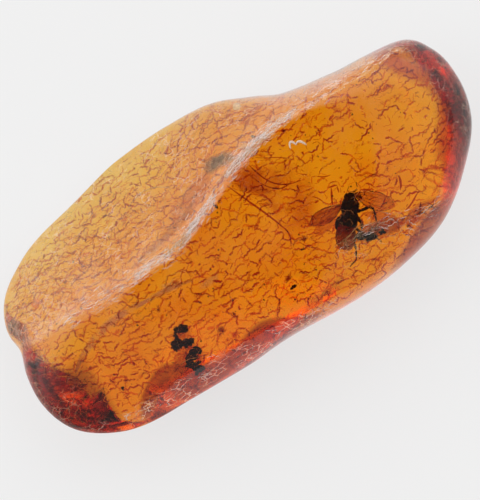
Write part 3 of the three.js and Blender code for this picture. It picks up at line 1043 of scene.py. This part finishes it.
FLAKE = veil_finish("pale_flake", (1.0, 0.90, 0.90), 0.9, 2500, (0.3, 0.6), 0.5, (0.7, 1.0))
veil("pale_flake", blob((4.1, 6.7), 0.32, 0.28, 0.4, 9, 0.1, 8), at_depth(0.04), 0.02, FLAKE)
RED_HAZE = stain_finish("red_haze", (0.52, 0.20, 0.60), 900, (0.36, 0.60), 0.55, (0.45, 1.0))
LOWER_RIDGE_HAZE = (
    (5.9, -4.3), (7.2, -4.4), (8.2, -4.7), (9.2, -5.2), (10.2, -5.6), (11.4, -5.8), (12.6, -5.4),
    (13.2, -5.7), (12.0, -6.7), (10.6, -6.6), (9.2, -6.3), (8.0, -5.9), (6.8, -5.6), (5.9, -5.2),
)
veil("lower_ridge_haze", LOWER_RIDGE_HAZE, at_depth(0.25), 0.03, RED_HAZE)
DARK_STAIN = stain_finish("dark_stain", (0.22, 0.12, 0.20), 1500, (0.38, 0.58), 0.1, (0.45, 1.0))
veil("clod_stain", blob((6.75, -4.9), 1.1, 0.45, -0.25, 15), at_depth(0.6), 0.03, DARK_STAIN)
RED_CLOUD = stain_finish("red_cloud", (0.36, 0.12, 0.34), 1100, (0.36, 0.60), 0.35, (0.30, 1.0))
veil("red_cloud", blob((7.2, -4.95), 2.0, 0.85, -0.35, 17), at_depth(0.8), 0.04, RED_CLOUD)
CRUMB_STAIN = (
    (-6.4, -3.0), (-6.3, -4.2), (-6.1, -5.4), (-6.5, -6.4), (-7.8, -6.6), (-9.0, -5.7), (-8.4, -4.6),
    (-8.0, -3.6), (-7.4, -3.0),
)
HALO = stain_finish("crumb_halo", (0.42, 0.08, 0.10), 700, (0.32, 0.60), 0.35, (0.30, 1.0))
veil("crumb_stain", CRUMB_STAIN, at_depth(1.0), 0.04, HALO, "debris")

# Middle, reach along X and Y, and depth of each clot.
SPOTS = (
    ((-4.75, -5.05), 0.34, 0.44, 1.0), ((-2.9, -3.8), 0.26, 0.12, 1.2), ((0.85, -4.55), 0.34, 0.26, 1.1),
    ((3.1, -2.95), 0.20, 0.28, 0.9), ((-7.4, -1.6), 0.32, 0.15, 1.0), ((-3.4, -4.6), 0.18, 0.14, 1.2),
)
SPOT = stain_finish("resin_spot", (0.26, 0.05, 0.05), 2600, (0.34, 0.58), 0.25, (0.35, 1.0))


def resin_spots():
    """Small red-brown clots of burnt resin, sealed a little way in."""
    films = []
    for k, (centre, reach_x, reach_y, depth) in enumerate(SPOTS):
        films.append(lens(blob(centre, reach_x, reach_y, 0.3 * k, 20 + k, 0.35), at_depth(depth), 0.04))
    shares = np.concatenate([share for _, share in films])
    return add_piece("resin_spots", joined([shape for shape, _ in films]), SPOT, "debris", share=shares)


resin_spots()
RIM_HAZE = veil_finish("rim_haze", (1.0, 0.66, 0.22), 0.42, 1300, (0.30, 0.60), 0.5, (0.0, 1.0))
veil("rim_haze", blob((2.1, -6.75), 2.5, 0.50, 0.14, 19), at_depth(0.07), 0.02, RIM_HAZE)
# Painted shade: a cool-tinted film that dims a red glint of light running inside the front edge.
GLINT_SHADE = stain_finish("painted_glint_shade", (0.80, 0.98, 1.0), 900, (0.30, 0.50), 0.8, (0.30, 1.0))
veil("painted_glint_shade", blob((1.9, -6.85), 2.0, 0.42, 0.14, 23), at_depth(0.16), 0.02, GLINT_SHADE)
# Painted shade: a dim mauve film along the steep back just behind the left half of the ridge.
RIDGE_SHADE = stain_finish("ridge_shade", (0.60, 0.42, 0.46), 1500, (0.34, 0.60), 0.35, (0.15, 1.0))
SHADE_LINE = ((-7.4, 1.35), (-5.2, 1.8), (-4.0, 1.95), (-2.6, 2.1), (-1.5, 2.9))
streak("ridge_shade", SHADE_LINE, 1.10, 0.66, RIDGE_SHADE)
RIDGE_HAZE = veil_finish("ridge_haze", (1.0, 0.86, 0.78), 0.55, 1400, (0.34, 0.62), 0.35)
veil("ridge_haze_left", blob((-3.0, 1.35), 2.1, 0.42, 0.45, 13), at_depth(0.06), 0.02, RIDGE_HAZE)
veil("ridge_haze_right", blob((3.2, 3.65), 3.0, 0.33, 0.18, 14), at_depth(0.06), 0.02, RIDGE_HAZE)

FISSURE = crack_finish("fissure_line", (0.8, 0.5, 0.3), (0.45, 0.10, 0.05))


def fissure_lines():
    """Long dark lines where fissures meet the skin: control points, width and depth of each."""
    lines = (
        (((0.73, 2.6), (1.38, 0.8), (2.10, -0.7), (2.42, -2.1)), 0.12, 0.35),
        (((2.35, -1.7), (2.50, -2.2), (2.30, -2.6), (2.05, -2.95)), 0.11, 0.35),
        (((2.6, 3.05), (2.9, 1.9), (3.0, 0.6), (5.0, 0.3)), 0.09, 0.30),
        (((2.3, 2.5), (2.6, 1.2), (3.4, 0.2), (4.4, 0.6)), 0.07, 0.50),
        (((5.9, 0.0), (6.1, -0.25), (6.4, -0.4), (6.7, -0.45)), 0.07, 0.13),
        (((5.0, -1.0), (5.2, -1.2), (5.3, -1.4), (5.4, -1.7)), 0.08, 0.30),
        (((2.7, -3.0), (2.8, -3.4), (3.1, -3.7), (3.4, -3.9)), 0.06, 0.30),
        (((3.2, 3.2), (3.8, 2.6), (4.6, 2.5), (5.3, 1.6)), 0.05, 0.30),
        (((6.29, -1.18), (6.15, -1.5), (5.9, -1.8), (5.78, -2.17)), 0.14, 0.22),
        (((6.15, -1.05), (6.35, -1.15), (6.5, -1.1), (6.72, -1.25)), 0.12, 0.20),
        (((6.68, -1.30), (6.60, -1.4), (6.62, -1.6), (6.55, -1.70)), 0.09, 0.16),
        (((10.40, -2.85), (10.42, -3.15), (10.25, -3.45), (10.02, -3.72)), 0.16, 0.25),
        (((9.6, -5.0), (10.1, -5.0), (10.4, -4.7), (10.9, -4.5)), 0.12, 0.20),
        (((10.3, -5.65), (10.5, -5.5), (10.6, -5.2), (10.75, -5.1)), 0.14, 0.24),
    )
    shape = joined([ribbon(*line) for line in lines])
    return add_piece("fissure_lines", shape, FISSURE, "crazing", tone=np.ones(len(shape[0])))


def pale_lines():
    """Long pale scratches on the back, over the fly and on the low front band, a painted highlight on the
    trailing edge of the fly's right wing, and a small curl of two broad strokes: control points, width
    and depth of each."""
    lines = (
        (((-5.9, 4.8), (-5.0, 5.4), (-3.6, 5.9), (-2.4, 4.45)), 0.07, 0.05),
        (((4.9, -4.75), (5.5, -4.4), (6.3, -4.2), (6.8, -4.2)), 0.06, 0.05),
        (((6.0, -4.2), (6.6, -4.3), (7.2, -4.6), (7.7, -4.6)), 0.05, 0.05),
        (((7.1, -4.85), (7.8, -4.75), (8.5, -5.1), (9.2, -5.0)), 0.05, 0.05),
        # Painted highlight: light glinting on the trailing edge of the fly's right wing.
        (((8.05, -4.0), (8.3, -4.4), (8.55, -4.65), (8.78, -4.45)), 0.04, 0.30),
        (((-8.5, -5.6), (-7.5, -5.2), (-7.0, -5.9), (-6.0, -6.0)), 0.05, 0.05),
        (((5.45, 2.35), (5.60, 2.95), (5.85, 2.75), (5.90, 2.35)), 0.17, 0.0),
        (((5.90, 2.40), (6.15, 2.65), (6.35, 2.35), (6.45, 2.00)), 0.17, 0.0),
        (((-9.6, -6.6), (-8.9, -6.2), (-8.4, -6.9), (-7.7, -6.6)), 0.06, 0.04),
        (((-8.6, -7.2), (-8.0, -6.6), (-7.2, -7.3), (-6.5, -6.8)), 0.06, 0.04),
        (((-7.2, -6.4), (-6.9, -6.9), (-6.4, -6.7), (-6.2, -7.3)), 0.06, 0.04),
        (((-5.8, -7.3), (-5.0, -6.9), (-4.2, -7.4), (-3.4, -7.0)), 0.05, 0.04),
        (((-11.6, -6.5), (-10.9, -6.0), (-10.5, -6.7), (-9.8, -6.6)), 0.05, 0.04),
    )
    finish = sliver_finish("pale_line", (0.90, 0.66, 0.52), (1.0, 0.88, 0.78), (0.5, 0.75))
    shape = joined([ribbon(*line, flatten=SCRATCH_FLATNESS) for line in lines])
    return add_piece("pale_lines", shape, finish, "crazing", tone=np.ones(len(shape[0])))


fissure_lines()
pale_lines()

# ---- crumbs and a bubble -------------------------------------------------------------------------


BITS_PER_CRUMB = 12
LOOSE_SPECKS = 90


def plant_crumbs():
    """A chain of dark plant crumbs, a dark clod under the lower ridge and scattered specks.  Each crumb
    is a dozen rough bits strewn evenly through its box."""
    rng = np.random.default_rng(SEED + 40)
    # Plan place, half sizes along X, Y and Z, and depth of each.
    crumbs = (
        ((-6.85, -3.50), (0.50, 0.30, 0.15), 1.2), ((-7.45, -3.80), (0.18, 0.20, 0.1), 1.2),
        ((-7.62, -4.15), (0.36, 0.32, 0.2), 1.3), ((-6.98, -4.48), (0.40, 0.30, 0.2), 1.3),
        ((-7.02, -5.20), (0.52, 0.42, 0.2), 1.2), ((-7.70, -5.62), (0.30, 0.26, 0.2), 1.1),
        ((-7.42, -6.12), (0.38, 0.32, 0.15), 0.9), ((6.25, -4.75), (0.42, 0.24, 0.2), 1.2),
        ((6.85, -5.05), (0.36, 0.24, 0.2), 1.2), ((7.60, -5.20), (0.24, 0.16, 0.1), 1.0),
        ((-12.2, -4.70), (0.10, 0.13, 0.1), 1.2), ((0.8, -5.2), (0.20, 0.10, 0.1), 1.2),
        ((-0.6, 1.90), (0.08, 0.16, 0.08), 0.8), ((2.6, -3.5), (0.16, 0.08, 0.1), 1.0),
        ((3.9, 4.2), (0.10, 0.08, 0.1), 0.8), ((-10.5, 3.9), (0.08, 0.08, 0.06), 0.6),
    )
    places = np.array([(*plan, depth) for plan, _, depth in crumbs])
    sizes = np.array([size for _, size, _ in crumbs])
    push = rng.uniform(-0.75, 0.75, (len(crumbs), BITS_PER_CRUMB, 3))
    places = (places[:, None] + push * sizes[:, None]).reshape(-1, 3)
    sizes = (sizes[:, None] * rng.uniform(0.30, 0.70, (len(crumbs), BITS_PER_CRUMB, 3))).reshape(-1, 3)
    plan = places[:, :2]
    depth = places[:, 2]
    size = sizes
    scattered = np.stack([rng.uniform(-15, 14, LOOSE_SPECKS), rng.uniform(-6, 6, LOOSE_SPECKS)], -1)
    scattered = scattered[share_out(*scattered.T)[0] < 0.85]
    plan = np.concatenate([plan, scattered])
    grains = rng.uniform(0.02, 0.07, (len(scattered), 3))
    size = np.concatenate([size, grains])
    depth = np.concatenate([depth, rng.uniform(0.5, 3.0, len(scattered))])
    centres = under_skin(plan[:, 0], plan[:, 1], depth)
    finish = mottled("charred_crumb", (0.012, 0.003, 0.002), (0.10, 0.014, 0.006), 0.8, 3500)
    return add_piece("plant_crumbs", lumps(centres, size, rng, 5, 7), finish, "debris")


plant_crumbs()


BUBBLE_INDEX = 0.65      # air seen from inside amber
BUBBLE_PLACE = (-0.22, 2.0)
BUBBLE_DEPTH = 0.5
BUBBLE_SIZE = (0.10, 0.10, 0.09)


def bubble():
    """A small air bubble, hardly dented."""
    wall, _ = new_material("bubble_wall", CLEAR, 0.02, IOR=BUBBLE_INDEX, Transmission_Weight=1.0)
    centre = under_skin(*BUBBLE_PLACE, BUBBLE_DEPTH)
    shape = lumps(centre, [BUBBLE_SIZE], np.random.default_rng(SEED), 16, 24, 0.06)
    return add_piece("bubble", shape, wall, "amber")


bubble()

# ---- the fly -------------------------------------------------------------------------------------

FLY_PLACE = (6.6, -3.2)
FLY_DEPTH = 2.6          # the fly's middle under the skin
FLY_Z = float(under_skin(*FLY_PLACE, FLY_DEPTH)[2])
LEG_STATIONS = 12
LEG_TAPER = 0.72         # thickness of each tube of a leg over the one before it
LEG_BEND = 0.05          # how far the middle of each is drawn up
BRISTLES = 170
BRISTLE_RADIUS = 0.011


def at(x, y, lift=0.0):
    """A point of the fly: a plan place and a height over the fly's middle."""
    return (x, y, FLY_Z + lift)


def leg(points, thick):
    """A leg: bent tubes from joint to joint, each thinner than the one before it and thickest a third
    of the way along, by a sine of that way to the power 0.7."""
    tubes = []
    t = np.linspace(0, 1, LEG_STATIONS)
    for k, (a, b) in enumerate(zip(points[:-1], points[1:])):
        radius = thick * LEG_TAPER**k
        path = bezier([a, 0.5 * (np.add(a, b)) + (0, 0, LEG_BEND), b], LEG_STATIONS)
        swell = 0.55 + 0.45 * np.sin(math.pi * t**0.7)
        tubes.append(swept(path, radius * swell, 8))
    return joined(tubes)


def needles(base, tip, radius):
    """Bristles: long three-sided needles, closed at the base."""
    base = np.asarray(base, float)
    tip = np.asarray(tip, float)
    along = unit(tip - base)
    side = unit(np.cross(along, (0.3, 0.1, 1.0)))
    lift = np.cross(side, along)
    turn = np.arange(3) * 2 * math.pi / 3
    ring = base[:, None] + radius * (
        np.cos(turn)[None, :, None] * side[:, None] + np.sin(turn)[None, :, None] * lift[:, None]
    )
    points = np.concatenate([ring, tip[:, None]], 1).reshape(-1, 3)
    faces = np.array([(0, 1, 3), (1, 2, 3), (2, 0, 3), (2, 1, 0)])
    offset = (np.arange(len(base)) * 4)[:, None, None]
    return points, [(faces[None] + offset).reshape(-1, 3)]


def fly_body():
    """Head, chest and the dark front of the abdomen, as overlapping body segments."""
    black = mottled(
        "fly_cuticle", (0.003, 0.001, 0.001), (0.022, 0.004, 0.002), 0.5, 3500, 0.8,
        Specular_IOR_Level=0.15,
    )
    body = [
        body_segment(at(7.26, -1.98), at(6.82, -2.46), 0.74, 0.8, 0.45),
        body_segment(at(7.20, -2.22, 0.05), at(6.30, -3.30, 0.1), 1.26, 0.85, 0.40, 0.03),
        body_segment(at(6.60, -2.95, 0.2), at(6.20, -3.42, 0.1), 0.60, 0.7, 0.5),
        body_segment(at(6.85, -2.85), at(5.60, -4.00), 1.30, 0.75, 0.42, 0.06),
        body_segment(at(5.85, -2.85, -0.2), at(5.20, -3.62, -0.2), 0.50, 0.8, 0.5),
    ]
    return add_piece("fly_body", joined(body), black, "insect")


def fly_abdomen():
    """The ringed abdomen, redder and clearer towards its tip by the way along it."""
    belly, shader = new_material("fly_abdomen", (0.060, 0.006, 0.002), 0.5, Specular_IOR_Level=0.2)
    nodes = Nodes(belly)
    tone = nodes.math("MULTIPLY", nodes.value("tone"), nodes.noise(2500, 3.0))
    nodes.join(nodes.mix(tone, (0.08, 0.004, 0.001), (0.95, 0.030, 0.006)), shader.inputs["Base Color"])
    nodes.join(nodes.ramp(nodes.value("tone"), 0.2, 1.0, 0.90, 0.62), shader.inputs["Alpha"])
    start = np.array(at(6.25, -3.35))
    end = np.array(at(4.85, -4.80, -0.1))
    abdomen = body_segment(start, end, 1.36, 0.75, 0.40, 0.025, 60, 28)
    run = (abdomen[0] - start) @ (end - start) / np.sum((end - start) ** 2)
    return add_piece("fly_abdomen", abdomen, belly, "insect", tone=np.clip(run, 0, 1))


def fly_eyes(rng):
    """Two round eyes, finely dimpled, and a clot by the wing's root."""
    eye = mottled("fly_eye", (0.020, 0.004, 0.002), (0.09, 0.016, 0.006), 0.3, 16000, 0.6)
    eyes = lumps(
        [at(7.22, -2.34, 0.06), at(6.86, -2.10, 0.06), at(7.67, -2.58, 0.0)],
        [(0.17, 0.17, 0.17), (0.17, 0.17, 0.17), (0.12, 0.13, 0.1)],
        rng, 20, 28, 0.02,
    )
    return add_piece("fly_eyes", eyes, eye, "insect")


def fly_legs(brown):
    """The four legs that show."""
    legs = [
        leg(
            [at(7.00, -3.20), at(7.25, -3.36), at(7.90, -3.44, 0.1), at(7.93, -3.70), at(7.62, -4.52)],
            0.15,
        ),
        leg([at(6.60, -3.30), at(6.80, -3.48), at(6.85, -4.02, 0.1), at(6.65, -4.40)], 0.19),
        leg([at(6.30, -4.10), at(6.55, -4.60), at(7.00, -5.00), at(7.20, -5.60)], 0.10),
        leg([at(5.70, -4.80), at(5.55, -5.15), at(5.25, -5.75), at(4.55, -5.95)], 0.08),
    ]
    return add_piece("fly_legs", joined(legs), brown, "insect")


def fly_antennae(brown):
    """Three thin jointed feelers on the head."""
    feelers = [
        leg([at(7.30, -2.02), at(7.62, -2.12), at(7.85, -2.00), at(7.95, -1.62)], 0.05),
        leg([at(7.34, -2.12), at(7.50, -2.40), at(7.66, -2.56)], 0.05),
        leg([at(7.14, -1.95), at(7.20, -1.75), at(7.42, -1.60)], 0.03),
    ]
    return add_piece("fly_antennae", joined(feelers), brown, "insect")


def fly_bristles(brown, rng):
    """Bristles that stand out from a line along the back, at random turns round it, and lean
    backwards; the line's width is a sine of the way along."""
    run = rng.random(BRISTLES)
    front = np.array(at(7.15, -2.15))
    rear = np.array(at(5.0, -4.5))
    middle = front + run[:, None] * (rear - front)
    across = np.array([0.763, -0.646, 0.0])
    turn = rng.uniform(0.1, math.pi - 0.1, BRISTLES)
    outward = np.cos(turn)[:, None] * across + np.sin(turn)[:, None] * (0, 0, 1)
    width = 0.30 + 0.20 * np.sin(math.pi * run)
    base = middle + 0.8 * width[:, None] * outward
    tip = base + rng.uniform(0.12, 0.34, (BRISTLES, 1)) * unit(outward + (-0.4, -0.45, 0.1))
    return add_piece("fly_bristles", needles(base, tip, BRISTLE_RADIUS), brown, "insect")


def fly():
    """A small two-winged fly, 3.7 mm long, lying belly down with its head to the right-hand back."""
    rng = np.random.default_rng(SEED + 60)
    fly_body()
    fly_abdomen()
    fly_eyes(rng)
    brown = mottled(
        "fly_leg", (0.010, 0.002, 0.001), (0.06, 0.008, 0.003), 0.5, 4000, 0.4, Specular_IOR_Level=0.15
    )
    fly_legs(brown)
    fly_antennae(brown)
    fly_bristles(brown, rng)


FORE_SKEW = 1.15         # powers of the way along that put a wing's greatest width past its middle
HIND_SKEW = 1.25
WING_STATIONS = 22
WING_THICKNESS = 0.025
VEIN_STATIONS = 26
VEIN_RADIUS = 0.02


def wing_width(t, skew):
    """Share of a wing's half width at t of the way along: the sine of pi times t to the power `skew`,
    raised to three quarters."""
    return np.sin(math.pi * t**skew) ** 0.75


def wing_outline(root, tip, front, back):
    """A wing's outline: from the root to the tip and back, bulging to each side."""
    t = np.linspace(0, 1, WING_STATIONS)
    root = np.asarray(root, float)
    run = np.asarray(tip, float) - root
    aside = np.array([-run[1], run[0]]) / np.hypot(*run)
    fore = root + t[:, None] * run + front * wing_width(t, FORE_SKEW)[:, None] * aside
    t = t[::-1]
    hind = root + t[:, None] * run - back * wing_width(t, HIND_SKEW)[:, None] * aside
    return np.concatenate([fore, hind[1:-1]])


def wing_veins(root, tip, front, back, height, reach):
    """Veins that fan from the root: each follows the wing at its own share of the width, thinner
    towards the tip, and the two along the edges are the thickest."""
    root = np.asarray(root, float)
    run = np.asarray(tip, float) - root
    aside = np.array([-run[1], run[0]]) / np.hypot(*run)
    tubes = []
    for side, end in reach:
        t = np.linspace(0.02, end, VEIN_STATIONS)
        wide = front * wing_width(t, FORE_SKEW) if side > 0 else back * wing_width(t, HIND_SKEW)
        plan = root + t[:, None] * run + (side * wide)[:, None] * aside
        path = np.column_stack([plan, height(*plan.T)])
        tubes.append(swept(path, VEIN_RADIUS * (1.3 - t) * (1.6 if abs(side) > 0.9 else 0.7), 6))
    return joined(tubes)


def sloping(root, level, fall):
    """A sheet that falls away from a wing's root by `fall` for each millimetre of plan distance."""
    return lambda x, y: level - fall * np.hypot(x - root[0], y - root[1])


def wings():
    """Four see-through wing lobes, two of them with veins."""
    membrane = membrane_finish("wing_membrane", (0.66, 0.38, 0.3), (0.42, 0.15, 0.1))
    pale_membrane = membrane_finish("pale_wing_membrane", (0.84, 0.62, 0.5), (0.66, 0.40, 0.3))
    vein = mottled("wing_vein", (0.10, 0.010, 0.003), (0.26, 0.030, 0.008), 0.5, 3000)
    # Veins as the share of the width, front being positive, and how far along each ends.
    fan = ((1.0, 0.96), (0.72, 0.93), (0.35, 0.96), (-0.1, 0.97), (-0.5, 0.92), (-0.97, 0.9))
    # Name, root, tip, half width in front and behind, finish, the root's lift and the fall, veins.
    lobes = (
        ("left_fore_wing", (6.40, -2.35), (3.88, -2.30), 0.50, 0.50, membrane, (0.05, 0.10), True),
        ("left_hind_wing", (6.00, -2.90), (3.80, -2.90), 0.35, 0.42, pale_membrane, (0.05, 0.10), False),
        ("right_wing", (7.45, -2.20), (9.10, -4.25), 0.52, 0.62, pale_membrane, (0.10, -0.05), True),
        ("right_hind_wing", (7.20, -3.50), (8.85, -5.15), 0.35, 0.40, pale_membrane, (0.10, -0.05), False),
    )
    for name, root, tip, front, back, finish, (lift, fall), veined in lobes:
        height = sloping(root, FLY_Z + lift, fall)
        shape, _ = lens(wing_outline(root, tip, front, back), height, WING_THICKNESS, 32)
        add_piece(name, shape, finish, "wings")
        if veined:
            tubes = wing_veins(root, tip, front, back, height, fan)
            add_piece(name + "_veins", tubes, vein, "wings")


fly()
wings()

# ---- floor, light and camera ---------------------------------------------------------------------

FLOOR_HALF = 1.5
FLOOR_DROP = 0.00002     # the floor's gap under the nugget
PAPER = (0.22, 0.22, 0.22)
FLOOR_GLOW = 0.69        # light that the floor gives of its own
ROOM_BACK = 1.60         # brightness of the room behind the nugget, in front of it and overhead
ROOM_FRONT = 0.36
ROOM_TOP = 0.05
FRONT_EDGE = (-0.35, 0.30)    # share of a direction that points back, over which front turns to back
TOP_EDGE = (0.86, 0.97)       # share that points up, over which the sides turn to overhead


def lay_floor():
    """A pale sheet lit softly from below as well as from the room, like a viewing table."""
    mesh = bpy.data.meshes.new("floor")
    corners = [(-1, -1), (1, -1), (1, 1), (-1, 1)]
    points = [(FLOOR_HALF * x, FLOOR_HALF * y, -FLOOR_DROP) for x, y in corners]
    mesh.from_pydata(points, [], [(0, 1, 2, 3)])
    paper, _ = new_material(
        "pale_paper", PAPER, 0.9,
        Specular_IOR_Level=0.0,
        Emission_Color=(*CLEAR, 1),
        Emission_Strength=FLOOR_GLOW,
    )
    mesh.materials.append(paper)
    floor = bpy.data.objects.new("floor", mesh)
    bpy.context.scene.collection.objects.link(floor)


def light_room():
    """A plain room: bright behind the nugget, dimmer in front and dark straight overhead."""
    world = bpy.data.worlds.new("studio")
    bpy.context.scene.world = world
    world.use_nodes = True
    tree = world.node_tree
    coordinates = tree.nodes.new("ShaderNodeTexCoord")
    split = tree.nodes.new("ShaderNodeSeparateXYZ")
    tree.links.new(coordinates.outputs["Generated"], split.inputs[0])

    def blend(share, edge, first, second):
        """first below the edge's range, second above it; each is a number or a socket."""
        ramp = tree.nodes.new("ShaderNodeMapRange")
        ramp.interpolation_type = "SMOOTHSTEP"
        tree.links.new(share, ramp.inputs["Value"])
        ramp.inputs["From Min"].default_value = edge[0]
        ramp.inputs["From Max"].default_value = edge[1]
        for source, key in ((first, "To Min"), (second, "To Max")):
            if isinstance(source, float):
                ramp.inputs[key].default_value = source
            else:
                tree.links.new(source, ramp.inputs[key])
        return ramp.outputs["Result"]

    sides = blend(split.outputs["Y"], FRONT_EDGE, ROOM_FRONT, ROOM_BACK)
    light = blend(split.outputs["Z"], TOP_EDGE, sides, ROOM_TOP)
    tree.links.new(light, tree.nodes["Background"].inputs["Strength"])
    tree.nodes["Background"].inputs["Color"].default_value = (1, 1, 1, 1)


BOUNCES = 32             # light crosses many films on its way through the nugget
VIEW_TURN = math.radians(33)       # how far the nugget's length is turned up to the right in the view
VIEW_HEIGHT = 0.03333              # height of the view at the rim's level
VIEW_DISTANCE = 0.185
VIEW_DROP = 0.00162                # how far below the nugget the view is centred
RIM_LEVEL = 0.0045


def place_camera():
    """A camera straight above the nugget with a long lens."""
    right = Vector((math.cos(VIEW_TURN), -math.sin(VIEW_TURN), 0))
    up = Vector((math.sin(VIEW_TURN), math.cos(VIEW_TURN), 0))
    back = Vector((0, 0, 1))
    data = bpy.data.cameras.new("camera")
    data.sensor_width = 36
    data.lens = data.sensor_width * VIEW_DISTANCE / VIEW_HEIGHT
    data.clip_start = 0.001
    camera = bpy.data.objects.new("camera", data)
    bpy.context.scene.collection.objects.link(camera)
    placed = Matrix((right, up, back)).transposed().to_4x4()
    placed.translation = Vector((0, 0, RIM_LEVEL)) - VIEW_DROP * up + VIEW_DISTANCE * back
    camera.matrix_world = placed
    bpy.context.scene.camera = camera


lay_floor()
light_room()
place_camera()

scene = bpy.context.scene
scene.view_settings.view_transform = "Standard"
scene.cycles.max_bounces = BOUNCES
scene.cycles.transmission_bounces = BOUNCES
scene.cycles.transparent_max_bounces = BOUNCES
